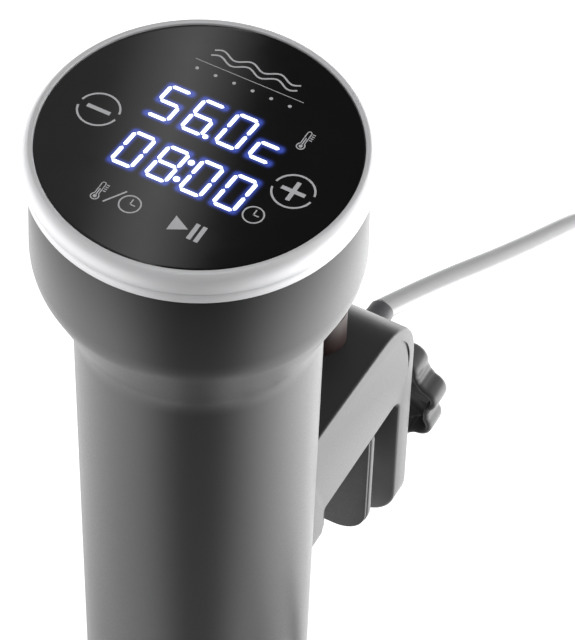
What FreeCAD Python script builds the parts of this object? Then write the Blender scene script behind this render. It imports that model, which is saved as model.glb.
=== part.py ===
"""Sous vide circulator: every physical piece as its own named sub-part, in millimetres.

Frame: +Z up along the round body, origin at the centre of the base's underside, the
touch display's lower edge towards -Y, the pot clamp and the mains cord towards +Y.
"""
import FreeCAD, Part
import math
import os

import Sketcher

V = FreeCAD.Vector
doc = FreeCAD.newDocument("circulator")

# ---------------------------------------------------------------- driving dimensions
DIMENSIONS = [
    # head and display
    ("glass_plane", 400.0), ("glass_radius", 41.8), ("glass_thick", 2.4),
    ("bezel_radius", 45.0), ("bezel_lip", 0.5), ("bezel_depth", 8.9),
    ("ledge_radius", 40.5), ("seal_thick", 0.8),
    # housing
    ("head_radius_top", 43.5), ("head_radius", 44.05), ("head_straight_end", 365.0),
    ("flare_start", 356.9), ("flare_start_radius", 42.4), ("flare_mid_radius", 39.6),
    ("flare_mid", 350.3), ("flare_end_radius", 35.2), ("flare_end", 340.0),
    ("body_top", 331.1), ("body_radius_top", 33.4), ("body_radius_low", 32.35),
    ("housing_low", 180.0), ("housing_wall", 2.0),
    # lower end
    ("skirt_radius", 29.8), ("skirt_wall", 0.8), ("skirt_top", 192.5), ("skirt_low", 14.3),
    ("cap_height", 14.0), ("cap_radius", 30.4), ("slot_width", 3.2), ("slot_height", 26.0),
    ("slot_count", 14), ("flange_radius", 30.55), ("flange_top", 199.0), ("spigot_radius", 28.7),
    # drive
    ("shaft_radius", 2.5), ("shaft_low", 20.0), ("shaft_high", 282.0), ("running_gap", 0.06),
    ("motor_radius", 16.0), ("motor_low", 221.0), ("motor_high", 262.0),
    ("mount_plate", 217.5), ("coupling_low", 206.0), ("coupling_high", 215.0),
    ("fan_low", 267.0), ("fan_thick", 9.0), ("fan_blades", 7),
    ("tube_inner", 4.2), ("tube_outer", 6.4), ("tube_low", 37.0), ("impeller_vanes", 6),
    # inner frame and boards
    ("frame_plate", 290.0), ("frame_bridge", 387.5), ("frame_hole", 24.0),
    ("board_radius", 38.4), ("board_thick", 1.6), ("board_low", 292.5), ("board_high", 366.0),
    ("board_half_width", 24.5),
    # heater, probe and level rods
    ("heater_radius", 15.5), ("heater_tube", 3.0), ("heater_low", 66.0),
    ("heater_pitch", 11.0), ("heater_turns", 8.5), ("riser_radius", 23.5),
    ("probe_radius", 2.0), ("rod_radius", 1.5), ("rod_low", 120.0),
    ("rod_across", 10.5), ("rod_deep", 21.5), ("inlet_count", 10),
    # pot clamp
    ("clamp_half_width", 19.0), ("arm_top", 250.5), ("arm_rear_top", 247.6),
    ("arm_under", 210.0), ("leg_inner", 90.4), ("leg_outer", 98.6), ("leg_low", 148.5),
    ("saddle_rear", 42.4), ("saddle_low", 194.0), ("arm_corner", 23.0), ("hook_corner", 5.0),
    ("saddle_pad_thick", 1.6), ("jaw_front", 72.5), ("jaw_pad_thick", 1.2),
    ("jaw_back", 76.0), ("jaw_half_width", 18.3), ("jaw_low", 160.5), ("jaw_top", 209.2),
    ("screw_height", 182.2), ("screw_radius", 4.0), ("knob_front", 110.0),
    ("knob_thick", 9.0), ("knob_radius", 20.4), ("lobe_radius", 5.2), ("lobe_count", 9),
    ("lobe_turn", 5.0),
    ("neck_half_width", 4.0), ("neck_rear", 71.5), ("neck_height", 15.4),
    ("neck_post_radius", 8.3),
    ("leg_corner", 13.5), ("saddle_corner", 7.0), ("jaw_corner", 11.0),
    ("jaw_top_corner", 3.0), ("jaw_boss_radius", 8.0), ("jaw_boss_high", 5.0),
    ("insert_radius", 7.0), ("knob_wall", 1.9), ("knob_web", 2.6), ("knob_hub", 7.5),
    ("valley_radius", 1.8), ("valley_reach", 21.8), ("lobe_reach", 17.7),
    # mains cord
    ("cord_radius", 3.4), ("coil_x", 62.0), ("coil_y", 85.0), ("coil_outer", 44.8),
    ("coil_inner", 24.2),
    ("exit_x", 2.0), ("exit_height", 221.2), ("boot_start", 84.0), ("boot_end", 110.6),
    ("boot_radius", 5.6), ("plug_height", 17.2), ("plug_x", 100.0), ("plug_rear", 42.0),
    ("plug_neck", 12.0),
    ("plug_radius", 17.0), ("plug_deep", 22.0), ("pin_radius", 2.4), ("pin_long", 19.0),
    ("pin_spacing", 19.0),
]
sheet = doc.addObject("Spreadsheet::Sheet", "dims")
for row, (alias, number) in enumerate(DIMENSIONS, 1):
    sheet.set("A%d" % row, alias)
    sheet.set("B%d" % row, str(number))
    sheet.setAlias("B%d" % row, alias)
doc.recompute()


def value(expression):
    """the number that a sheet expression, or a plain number, stands for"""
    if isinstance(expression, (int, float)):
        return float(expression)
    found = sheet.evalExpression(expression)
    return float(getattr(found, "Value", found))


def d(text):
    """writes 'dims.' before every word of an expression"""
    words = {alias for alias, _ in DIMENSIONS}
    out, word = "", ""
    for ch in text + " ":
        if ch.isalnum() or ch == "_":
            word += ch
        else:
            out += ("dims." + word if word in words else word) + ch
            word = ""
    return out.strip()


parts = []


# ---------------------------------------------------------------- building helpers
def new_body(label):
    body = doc.addObject("PartDesign::Body", label)
    parts.append(body)
    return body


def origin_of(body, role):
    return next(item for item in body.Origin.OriginFeatures if item.Role == role)


def sketch_on(body, name, role, height=None):
    """an empty sketch on an origin plane, moved along its normal by an expression"""
    sketch = body.newObject("Sketcher::SketchObject", name)
    sketch.AttachmentSupport = [(origin_of(body, role), "")]
    sketch.MapMode = "FlatFace"
    if height is not None:
        sketch.setExpression("AttachmentOffset.Base.z", d(str(height)))
    return sketch


def bind(sketch, constraint, text):
    """adds a driving constraint and ties its value to the sheet"""
    index = sketch.addConstraint(constraint)
    if isinstance(text, str):
        sketch.setExpression("Constraints[%d]" % index, d(text))


def outline(sketch, corners):
    """closed outline through corners; a third item is the radius of the arc that arrives
    there, positive when the arc bulges to the right of its travel"""
    spots = [V(value(d(str(c[0]))), value(d(str(c[1]))), 0) for c in corners]
    geos = []
    for k, corner in enumerate(corners):
        start, end = spots[k - 1], spots[k]
        if len(corner) > 2:
            radius = value(d(str(corner[2])))
            chord = end - start
            rise = abs(radius) - math.sqrt(max(radius * radius - chord.Length ** 2 / 4, 0))
            side = V(chord.y, -chord.x, 0).normalize() * math.copysign(rise, radius)
            geos.append(Part.Arc(start, (start + end) * 0.5 + side, end))
        else:
            geos.append(Part.LineSegment(start, end))
    first = sketch.GeometryCount
    ends = []
    for k, geo in enumerate(geos):
        index = sketch.addGeometry(geo, False)
        swapped = False
        if isinstance(geo, Part.Arc):
            swapped = (sketch.getPoint(index, 1) - spots[k - 1]).Length > 1e-6
        ends.append((2, 1) if swapped else (1, 2))
    count = len(geos)
    for k, corner in enumerate(corners):
        after = (k + 1) % count
        sketch.addConstraint(Sketcher.Constraint("Coincident", first + k, ends[k][1],
                                                 first + after, ends[after][0]))
        for kind, text, axis in (("DistanceX", corner[0], -2), ("DistanceY", corner[1], -1)):
            size = value(d(str(text)))
            if abs(size) < 1e-9:
                sketch.addConstraint(Sketcher.Constraint("PointOnObject", first + k,
                                                         ends[k][1], axis))
            else:
                bind(sketch, Sketcher.Constraint(kind, -1, 1, first + k, ends[k][1], size),
                     text)
        if len(corner) > 2:
            radius = abs(value(d(str(corner[2]))))
            chord = (spots[k] - spots[k - 1]).Length
            if chord < 1.98 * radius:      # a half circle is fixed by its two ends
                bind(sketch, Sketcher.Constraint("Radius", first + k, radius), None)
    return sketch


def ring(sketch, x, y, radius):
    """a circle with its centre and radius tied to the sheet"""
    spot = V(value(d(str(x))), value(d(str(y))), 0)
    index = sketch.addGeometry(Part.Circle(spot, V(0, 0, 1), value(d(str(radius)))), False)
    for kind, text, axis in (("DistanceX", x, -2), ("DistanceY", y, -1)):
        size = value(d(str(text)))
        if abs(size) < 1e-9:
            sketch.addConstraint(Sketcher.Constraint("PointOnObject", index, 3, axis))
        else:
            bind(sketch, Sketcher.Constraint(kind, -1, 1, index, 3, size), text)
    bind(sketch, Sketcher.Constraint("Radius", index, value(d(str(radius)))), radius)
    return sketch


def turned(label, corners):
    """a body turned about Z from a closed outline in the XZ plane"""
    body = new_body(label)
    profile = outline(sketch_on(body, label + "_profile", "XZ_Plane"), corners)
    turn = body.newObject("PartDesign::Revolution", label + "_turn")
    turn.Profile = profile
    turn.ReferenceAxis = (profile, ["V_Axis"])
    turn.Angle = 360
    return body


def pad(body, profile, length, name="pad"):
    feature = body.newObject("PartDesign::Pad", body.Name + "_" + name)
    feature.Profile = profile
    feature.setExpression("Length", d(str(length)))
    return feature


def cut(body, profile, length=None, name="cut", both=False, backwards=False):
    """a pocket by an expression's depth, or through everything"""
    feature = body.newObject("PartDesign::Pocket", body.Name + "_" + name)
    feature.Profile = profile
    if length is None:
        feature.Type = "ThroughAll"
    else:
        feature.setExpression("Length", d(str(length)))
    if both:
        feature.SideType = "Symmetric"
    feature.Reversed = backwards
    return feature


def around(body, feature, count, name="pattern"):
    """repeats a feature evenly about Z"""
    pattern = body.newObject("PartDesign::PolarPattern", body.Name + "_" + name)
    pattern.Originals = [feature]
    pattern.Axis = (origin_of(body, "Z_Axis"), [""])
    pattern.Angle = 360
    pattern.setExpression("Occurrences", d(str(count)))
    body.Tip = pattern
    return pattern


def rounded(body, radius, wanted, name="round", kind="Fillet"):
    """fillets or chamfers the edges of the last feature that wanted(edge) picks"""
    doc.recompute()
    base = body.Tip
    names = ["Edge%d" % (k + 1) for k, edge in enumerate(base.Shape.Edges) if wanted(edge)]
    if not names:
        raise RuntimeError("no edge to round on " + body.Label)
    feature = body.newObject("PartDesign::" + kind, body.Name + "_" + name)
    feature.Base = (base, names)
    feature.setExpression("Radius" if kind == "Fillet" else "Size", d(str(radius)))
    return feature


def along(edge, axis, **where):
    """true for a straight edge along one axis whose centre has the given coordinates"""
    if not isinstance(edge.Curve, (Part.Line, Part.LineSegment)):
        return False
    run = edge.Vertexes[-1].Point - edge.Vertexes[0].Point
    if abs(getattr(run, axis)) < 0.99 * run.Length:
        return False
    middle = edge.CenterOfMass
    return all(any(abs(getattr(middle, key) - spot) < 0.2 for spot in spots)
               for key, spots in where.items())


def solid_from(label, shape):
    """a piece whose shape no body feature makes, such as a swept coil"""
    feature = doc.addObject("Part::Feature", label)
    feature.Shape = shape
    parts.append(feature)
    return feature


def cylinder(radius, low, high, x=0.0, y=0.0):
    return Part.makeCylinder(value(d(str(radius))), value(d(str(high))) - value(d(str(low))),
                             V(x, y, value(d(str(low)))))


def box(low, high):
    return Part.makeBox(high[0] - low[0], high[1] - low[1], high[2] - low[2], V(*low))


# ---------------------------------------------------------------- head and display
turned("glass_touch_panel", [
    (0, "glass_plane - glass_thick"), ("glass_radius", "glass_plane - glass_thick"),
    ("glass_radius", "glass_plane - 0.35"), ("glass_radius - 0.35", "glass_plane"),
    (0, "glass_plane")])

turned("touch_film", [
    (0, "glass_plane - glass_thick - 0.3"), (38.5, "glass_plane - glass_thick - 0.3"),
    (38.5, "glass_plane - glass_thick"), (0, "glass_plane - glass_thick")])

turned("glass_gasket", [
    ("ledge_radius", "glass_plane - glass_thick - seal_thick"),
    ("glass_radius - 0.1", "glass_plane - glass_thick - seal_thick"),
    ("glass_radius - 0.1", "glass_plane - glass_thick"),
    ("ledge_radius", "glass_plane - glass_thick")])

turned("bezel_ring", [
    ("ledge_radius", "glass_plane - bezel_depth"),
    ("bezel_radius - 0.5", "glass_plane - bezel_depth"),
    ("bezel_radius", "glass_plane - bezel_depth + 0.5"),
    ("bezel_radius", "glass_plane - 3.6"),
    ("bezel_radius - 1.9", "glass_plane + bezel_lip", 4.8),
    ("glass_radius + 0.45", "glass_plane + bezel_lip"),
    ("glass_radius + 0.1", "glass_plane + bezel_lip - 0.35"),
    ("glass_radius + 0.1", "glass_plane - glass_thick - seal_thick"),
    ("ledge_radius", "glass_plane - glass_thick - seal_thick")])

turned("display_carrier", [
    (34, "glass_plane - bezel_depth - 1.6"), (41.1, "glass_plane - bezel_depth - 1.6"),
    (41.1, "glass_plane - bezel_depth"), (39.9, "glass_plane - bezel_depth"),
    (39.9, "glass_plane - glass_thick - 0.5"), (38.9, "glass_plane - glass_thick - 0.5"),
    (38.9, "glass_plane - bezel_depth"), (34, "glass_plane - bezel_depth")])

body = new_body("display_board")
sketch = ring(sketch_on(body, "display_board_disc", "XY_Plane",
                        "glass_plane - bezel_depth"), 0, 0, "board_radius")
pad(body, sketch, "board_thick")
sketch = sketch_on(body, "display_board_holes", "XY_Plane", "glass_plane - bezel_depth")
for across in (-32, 32):
    ring(sketch, across, 0, 1.7)
cut(body, sketch, "board_thick", backwards=True)

body = new_body("led_display_module")
sketch = outline(sketch_on(body, "led_display_outline", "XY_Plane",
                           "glass_plane - bezel_depth + board_thick"),
                 [(-23, -19), (25, -19), (25, 17), (-23, 17)])
pad(body, sketch, "bezel_depth - board_thick - glass_thick - 0.3")

turned("sounder", [
    (0, "glass_plane - bezel_depth - 6.5"), (6, "glass_plane - bezel_depth - 6.5"),
    (6, "glass_plane - bezel_depth"), (0, "glass_plane - bezel_depth")])

# ---------------------------------------------------------------- housing
outer_side = [
    ("body_radius_low", "housing_low"), ("body_radius_top", "body_top"),
    ("flare_end_radius", "flare_end", -22.4), ("flare_mid_radius", "flare_mid"),
    ("flare_start_radius", "flare_start"), ("head_radius", "head_straight_end", 19.9),
    ("head_radius_top", "glass_plane - bezel_depth")]
inner_side = [
    (41.3, "glass_plane - bezel_depth"), ("head_radius - housing_wall", "head_straight_end"),
    ("flare_start_radius - housing_wall - 0.3", "flare_start - 1.0"),
    ("flare_mid_radius - housing_wall - 0.3", "flare_mid - 1.0"),
    ("flare_end_radius - housing_wall", "flare_end - 1.0"),
    ("body_radius_top - housing_wall", "body_top - 1.5"),
    ("body_radius_low - housing_wall", "housing_low")]
turned("upper_housing", outer_side + inner_side)

body = new_body("inner_frame")
sketch = sketch_on(body, "inner_frame_plate", "XY_Plane", "frame_plate")
ring(ring(sketch, 0, 0, 30.4), 0, 0, "frame_hole")
pad(body, sketch, 2.5, "plate")
for side, across in (("left", -29.5), ("right", 26.8)):
    sketch = outline(sketch_on(body, "inner_frame_column_" + side, "XY_Plane", "flange_top"),
                     [(across, -4), (across + 2.7, -4), (across + 2.7, 4), (across, 4)])
    pad(body, sketch, "frame_bridge + 2.0 - flange_top", side)
sketch = sketch_on(body, "inner_frame_bridge", "XY_Plane", "frame_bridge")
ring(ring(sketch, 0, 0, "board_radius"), 0, 0, "frame_hole")
pad(body, sketch, 2.0, "bridge")

body = new_body("power_board")
sketch = outline(sketch_on(body, "power_board_outline", "XZ_Plane", -9.6),
                 [("-board_half_width", "board_low"), ("board_half_width", "board_low"),
                  ("board_half_width", "board_high"), ("-board_half_width", "board_high")])
pad(body, sketch, "board_thick")

solid_from("transformer", box((-20, -8.0, 300), (-2, 8.0, 322)))
solid_from("relay", box((4, -4.0, 300), (20, 8.0, 318)))
solid_from("capacitors", Part.makeCompound([
    Part.makeCylinder(5, 14, V(-15, -6.0, 338), V(0, 1, 0)),
    Part.makeCylinder(5, 14, V(-2, -6.0, 338), V(0, 1, 0)),
    Part.makeCylinder(3.5, 10, V(12, -2.0, 334), V(0, 1, 0))]))

# ---------------------------------------------------------------- drive train
turned("drive_shaft", [
    (0, "shaft_low"), ("shaft_radius", "shaft_low"), ("shaft_radius", "shaft_high - 0.5"),
    ("shaft_radius - 0.5", "shaft_high"), (0, "shaft_high")])

turned("motor", [
    ("shaft_radius + running_gap", "motor_low"), ("motor_radius", "motor_low"),
    ("motor_radius", "motor_high - 1.5"), ("motor_radius - 1.5", "motor_high"),
    (6, "motor_high"), (6, "motor_high + 2"), ("shaft_radius + running_gap", "motor_high + 2")])

body = new_body("motor_mount")
sketch = sketch_on(body, "motor_mount_plate", "XY_Plane", "mount_plate")
ring(ring(sketch, 0, 0, 24.5), 0, 0, 7.5)
pad(body, sketch, "motor_low - mount_plate")
sketch = sketch_on(body, "motor_mount_post", "XY_Plane", "flange_top")
ring(sketch, 0, 20, 3)
post = pad(body, sketch, "mount_plate - flange_top", "post")
around(body, post, 3)

turned("shaft_coupling", [
    ("shaft_radius", "coupling_low"), (6.5, "coupling_low"), (6.5, "coupling_high"),
    ("shaft_radius", "coupling_high")])

body = new_body("cooling_fan")
sketch = sketch_on(body, "cooling_fan_hub", "XY_Plane", "fan_low")
ring(ring(sketch, 0, 0, 6), 0, 0, "shaft_radius")
pad(body, sketch, "fan_thick")
sketch = outline(sketch_on(body, "cooling_fan_blade", "XY_Plane", "fan_low + 1"),
                 [(5, -1.0), (20, -5.5), (21, -3.5), (5.4, 1.0)])
blade = pad(body, sketch, "fan_thick - 2", "blade")
around(body, blade, "fan_blades")

turned("upper_bearing", [
    ("shaft_radius + running_gap", "flange_top"), (8, "flange_top"), (8, "flange_top + 5"),
    ("shaft_radius + running_gap", "flange_top + 5")])

turned("shaft_seal", [
    ("shaft_radius + running_gap", 186), (5, 186), (5, 191), ("shaft_radius + running_gap", 191)])

turned("lower_bearing", [
    ("shaft_radius + running_gap", 38), ("tube_inner", 38), ("tube_inner", 46),
    ("shaft_radius + running_gap", 46)])

turned("shaft_tube", [
    ("tube_inner", "tube_low"), ("tube_outer", "tube_low"),
    ("tube_outer", "housing_low + 0.5"), ("tube_inner", "housing_low + 0.5")])

# ---------------------------------------------------------------- wet end
body = turned("heater_flange", [
    (5, "housing_low + 0.5"), ("spigot_radius", "housing_low + 0.5"),
    ("spigot_radius", "skirt_top + 0.7"), ("flange_radius - 0.25", "skirt_top + 0.7"),
    ("flange_radius", "flange_top"), (5, "flange_top")])
sketch = sketch_on(body, "heater_flange_ports", "XY_Plane", "flange_top")
for across, deep, radius in (("riser_radius", 0, "heater_tube"),
                             ("-riser_radius", 0, "heater_tube"),
                             (0, "-riser_radius", "probe_radius"),
                             ("-rod_across", "-rod_deep", "rod_radius"),
                             ("rod_across", "-rod_deep", "rod_radius")):
    ring(sketch, across, deep, radius)
cut(body, sketch)

turned("flange_seal", [
    ("spigot_radius", 184), ("skirt_radius - skirt_wall - 0.02", 184),
    ("skirt_radius - skirt_wall - 0.02", 187), ("spigot_radius", 187)])


def heater_shape():
    """a tube wound about the shaft tube, with both ends carried up through the flange"""
    radius, tube = value("dims.heater_radius"), value("dims.heater_tube")
    low, pitch = value("dims.heater_low"), value("dims.heater_pitch")
    turns, riser = value("dims.heater_turns"), value("dims.riser_radius")
    high, top = low + pitch * turns, value("dims.flange_top") + 4
    helix = Part.makeHelix(pitch, pitch * turns, radius)
    helix.translate(V(0, 0, low))
    section = Part.Wire([Part.makeCircle(tube, V(radius, 0, low),
                                         V(0, 2 * math.pi * radius, pitch))])
    shape = Part.Wire(helix.Edges).makePipeShell([section], True, True)
    for x, outer, level in ((radius, riser, low), (-radius, -riser, high)):
        for piece in (Part.makeSphere(tube, V(x, 0, level)),
                      Part.makeCylinder(tube, abs(outer - x), V(x, 0, level), V(outer, 0, 0)),
                      Part.makeSphere(tube, V(outer, 0, level)),
                      Part.makeCylinder(tube, top - level, V(outer, 0, level))):
            shape = shape.fuse(piece)
    return shape


solid_from("heater_coil", heater_shape())

probe = turned("temperature_probe", [
    (0, 60), ("probe_radius", 62.5), ("probe_radius", "flange_top + 6"),
    (0, "flange_top + 6")])
probe.setExpression("Placement.Base.y", "-dims.riser_radius")

solid_from("level_rods", Part.makeCompound([
    cylinder("rod_radius", "rod_low", "flange_top + 6", side * value("dims.rod_across"),
             -value("dims.rod_deep")) for side in (-1, 1)]))

body = turned("pump_housing", [
    (4.6, 33.5), (18.0, 33.5), (18.0, 18.5), (19.6, 18.5), (19.6, 36.0), ("tube_outer", 36.0),
    ("tube_outer", "tube_low"), (4.6, "tube_low")])
sketch = outline(sketch_on(body, "pump_outlet", "XZ_Plane", 15.0),
                 [(-6, 20.5), (6, 20.5), (6, 31.5), (-6, 31.5)])
cut(body, sketch, 8, backwards=True)

body = turned("impeller", [
    ("shaft_radius", 22), (5, 22), (5, 30), (15.5, 30), (15.5, 31.6), ("shaft_radius", 31.6)])
sketch = outline(sketch_on(body, "impeller_vane", "XY_Plane", 22.5),
                 [(4.2, -0.8), (15.2, -4.6), (15.6, -3.2), (4.4, 0.8)])
vane = pad(body, sketch, 7.8, "vane")
around(body, vane, "impeller_vanes")

body = turned("skirt_tube", [
    ("skirt_radius - skirt_wall", "skirt_low"), ("skirt_radius", "skirt_low"),
    ("skirt_radius", "skirt_top"), ("skirt_radius - skirt_wall", "skirt_top")])
for tier, (low, high) in enumerate((("skirt_low + 6", "skirt_low + 6 + slot_height"),
                                    ("skirt_low + 118", "skirt_low + 118 + slot_height / 2"))):
    half = "slot_width / 2"
    sketch = outline(sketch_on(body, "skirt_slot_%d" % tier, "XZ_Plane", 24),
                     [("-" + half, low), (half, low), (half, high, half), ("-" + half, high)])
    slot = cut(body, sketch, 8, "slot_%d" % tier, backwards=True)
    around(body, slot, "slot_count", "slots_%d" % tier)

body = turned("bottom_cap", [
    (0, 0), ("cap_radius - 1.2", 0), ("cap_radius", 1.2), ("cap_radius", "cap_height"),
    ("skirt_radius - skirt_wall - 0.4", "cap_height"),
    ("skirt_radius - skirt_wall - 0.4", "cap_height + 4"),
    ("skirt_radius - skirt_wall - 1.8", "cap_height + 4"),
    ("skirt_radius - skirt_wall - 1.8", 2.4), (0, 2.4)])
sketch = outline(sketch_on(body, "bottom_cap_inlet", "XY_Plane", 0),
                 [(13, -1.6), (23, -1.6), (23, 1.6, 1.6), (13, 1.6)])
inlet = cut(body, sketch, 3, "inlet", backwards=True)
around(body, inlet, "inlet_count")

# ---------------------------------------------------------------- pot clamp
body = new_body("clamp_bracket")
sketch = outline(sketch_on(body, "bracket_side", "YZ_Plane", "-clamp_half_width"), [
    (26, "arm_top"), (26, "saddle_low"), ("saddle_rear", "saddle_low"),
    ("saddle_rear", "arm_under"), ("leg_inner", "arm_under"), ("leg_inner", "leg_low"),
    ("leg_outer", "leg_low"), ("leg_outer", "arm_rear_top"), ("saddle_rear", "arm_top")])
pad(body, sketch, "clamp_half_width * 2")
sketch = sketch_on(body, "bracket_body_seat", "XY_Plane", "saddle_low - 1")
ring(sketch, 0, 0, "body_radius_top - 0.5")
cut(body, sketch, 60, "seat", backwards=True)
sketch = sketch_on(body, "bracket_screw_bore", "XZ_Plane", "-leg_inner + 1")
ring(sketch, 0, "screw_height", "insert_radius")
cut(body, sketch, 12, "screw_bore")
sketch = sketch_on(body, "bracket_cord_bore", "XZ_Plane", "-boot_start")
ring(sketch, "exit_x", "exit_height", "cord_radius + 1.2")
cut(body, sketch, 20, "cord_bore")
rounded(body, "arm_corner", lambda e: along(
    e, "x", y=[value("dims.leg_outer")], z=[value("dims.arm_rear_top")]), "rear_round")
rounded(body, "hook_corner", lambda e: along(
    e, "x", y=[value("dims.leg_inner")], z=[value("dims.arm_under")]), "hook_round")
half = value("dims.clamp_half_width")
rounded(body, "leg_corner", lambda e: along(
    e, "y", x=[-half, half], z=[value("dims.leg_low")]), "leg_round")
rounded(body, "saddle_corner", lambda e: along(
    e, "y", x=[-half, half], z=[value("dims.saddle_low")]), "saddle_round")

body = new_body("saddle_pad")
sketch = outline(sketch_on(body, "saddle_pad_outline", "XZ_Plane",
                           "-saddle_rear - saddle_pad_thick"), [
    ("-clamp_half_width + 7", "saddle_low + 0.6"), ("clamp_half_width - 7", "saddle_low + 0.6"),
    ("clamp_half_width - 0.6", "saddle_low + 7", 6.4),
    ("clamp_half_width - 0.6", "arm_under - 0.4"),
    ("-clamp_half_width + 0.6", "arm_under - 0.4"),
    ("-clamp_half_width + 0.6", "saddle_low + 7")])
pad(body, sketch, "saddle_pad_thick")

body = new_body("neck_block")
sketch = outline(sketch_on(body, "neck_block_outline", "XY_Plane", "arm_rear_top - 1"), [
    ("-neck_half_width", 26), ("neck_half_width", 26), ("neck_half_width", "neck_rear"),
    ("-neck_half_width", "neck_rear")])
pad(body, sketch, "neck_height")
sketch = ring(sketch_on(body, "neck_block_post", "XY_Plane", "arm_rear_top - 1"), 0,
              "neck_rear", "neck_post_radius")
pad(body, sketch, "neck_height", "post")
sketch = ring(sketch_on(body, "neck_block_seat", "XY_Plane", "arm_rear_top - 2"),
              0, 0, "body_radius_top - 0.4")
cut(body, sketch, 30, "seat", backwards=True)

turn_to_y = FreeCAD.Rotation(V(1, 0, 0), -90)


def on_screw(label, corners):
    """a body turned about the clamp screw's axis; its local z is the row's +Y"""
    made = turned(label, corners)
    made.Placement = FreeCAD.Placement(V(0, 0, value("dims.screw_height")), turn_to_y)
    made.setExpression("Placement.Base.z", "dims.screw_height")
    return made


on_screw("thread_insert", [
    ("screw_radius + running_gap", "leg_inner + 0.4"), ("insert_radius", "leg_inner + 0.4"),
    ("insert_radius", "leg_outer"), (8.4, "leg_outer"), (8.4, "leg_outer + 1.2"),
    ("screw_radius + running_gap", "leg_outer + 1.2")])

body = new_body("jaw_plate")
sketch = outline(sketch_on(body, "jaw_plate_outline", "XZ_Plane", "-jaw_back"), [
    ("-jaw_half_width", "jaw_low"), ("jaw_half_width", "jaw_low"),
    ("jaw_half_width", "jaw_top"), ("-jaw_half_width", "jaw_top")])
pad(body, sketch, "jaw_back - jaw_front - jaw_pad_thick")
sketch = ring(sketch_on(body, "jaw_plate_boss", "XZ_Plane", "-jaw_back - jaw_boss_high"),
              0, "screw_height", "jaw_boss_radius")
pad(body, sketch, "jaw_boss_high", "boss")
sketch = ring(sketch_on(body, "jaw_plate_socket", "XZ_Plane", "-jaw_back - jaw_boss_high"),
              0, "screw_height", "screw_radius + running_gap")
cut(body, sketch, 6.2, "socket", backwards=True)
half = value("dims.jaw_half_width")
rounded(body, "jaw_corner", lambda e: along(
    e, "y", x=[-half, half], z=[value("dims.jaw_low")]), "low_round")
rounded(body, "jaw_top_corner", lambda e: along(
    e, "y", x=[-half, half], z=[value("dims.jaw_top")]), "top_round")

body = new_body("jaw_pad")
sketch = outline(sketch_on(body, "jaw_pad_outline", "XZ_Plane",
                           "-jaw_front - jaw_pad_thick"), [
    ("-jaw_half_width + 0.3", "jaw_low + 0.3"), ("jaw_half_width - 0.3", "jaw_low + 0.3"),
    ("jaw_half_width - 0.3", "jaw_top - 0.3"), ("-jaw_half_width + 0.3", "jaw_top - 0.3")])
pad(body, sketch, "jaw_pad_thick")
half = value("dims.jaw_half_width") - 0.3
rounded(body, "jaw_corner - 0.3", lambda e: along(
    e, "y", x=[-half, half], z=[value("dims.jaw_low") + 0.3]), "low_round")
rounded(body, "jaw_top_corner - 0.3", lambda e: along(
    e, "y", x=[-half, half], z=[value("dims.jaw_top") - 0.3]), "top_round")

on_screw("clamp_screw", [
    (0, "jaw_back - 1.0"), ("screw_radius - 0.6", "jaw_back - 1.0"),
    ("screw_radius", "jaw_back - 0.4"), ("screw_radius", "knob_front + knob_thick - 2"),
    (0, "knob_front + knob_thick - 2")])


def knob_shape():
    """a lobed grip, hollow towards the leg, with a hub that holds the screw"""
    front, thick = value("dims.knob_front"), value("dims.knob_thick")
    radius, lobe = value("dims.knob_radius"), value("dims.lobe_radius")
    count, valley = int(value("dims.lobe_count")), value("dims.valley_radius")
    wall, web = value("dims.knob_wall"), value("dims.knob_web")

    def petals(shrink, low, high):
        depth = high - low
        shape = Part.makeCylinder(radius - shrink, depth, V(0, 0, low))
        for step in range(count):
            turn = 2 * math.pi * (step + 0.5) / count
            spot = V(math.cos(turn), math.sin(turn), 0) * value("dims.lobe_reach")
            shape = shape.fuse(Part.makeCylinder(lobe - shrink, depth, spot + V(0, 0, low)))
        for step in range(count):
            turn = 2 * math.pi * step / count
            spot = V(math.cos(turn), math.sin(turn), 0) * value("dims.valley_reach")
            shape = shape.cut(Part.makeCylinder(valley + shrink, depth, spot + V(0, 0, low)))
        return shape.removeSplitter()

    grip = petals(0.0, front, front + thick)
    hollow = petals(wall, front, front + thick - web)
    hub = Part.makeCylinder(value("dims.knob_hub"), thick - 1.0, V(0, 0, front))
    bore = Part.makeCylinder(value("dims.screw_radius"), thick - 2.0, V(0, 0, front))
    shape = grip.cut(hollow).fuse(hub).cut(bore).removeSplitter()
    turned = turn_to_y.multiply(FreeCAD.Rotation(V(0, 0, 1), value("dims.lobe_turn")))
    shape.Placement = FreeCAD.Placement(V(0, 0, value("dims.screw_height")), turned)
    return shape


solid_from("clamp_knob", knob_shape())

on_screw("knob_cap", [
    (0, "knob_front + knob_thick"), (12, "knob_front + knob_thick"),
    (12, "knob_front + knob_thick + 0.6"), (11, "knob_front + knob_thick + 1.2"),
    (0, "knob_front + knob_thick + 1.2")])

solid_from("bracket_screws", Part.makeCompound([
    Part.makeCylinder(2.0, 11, V(x, 29, z), V(0, 1, 0)).fuse(
        Part.makeCylinder(3.6, 2.4, V(x, 26.8, z), V(0, 1, 0)))
    for x in (-9.0, 9.0) for z in (204.0, 240.0)]))


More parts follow.
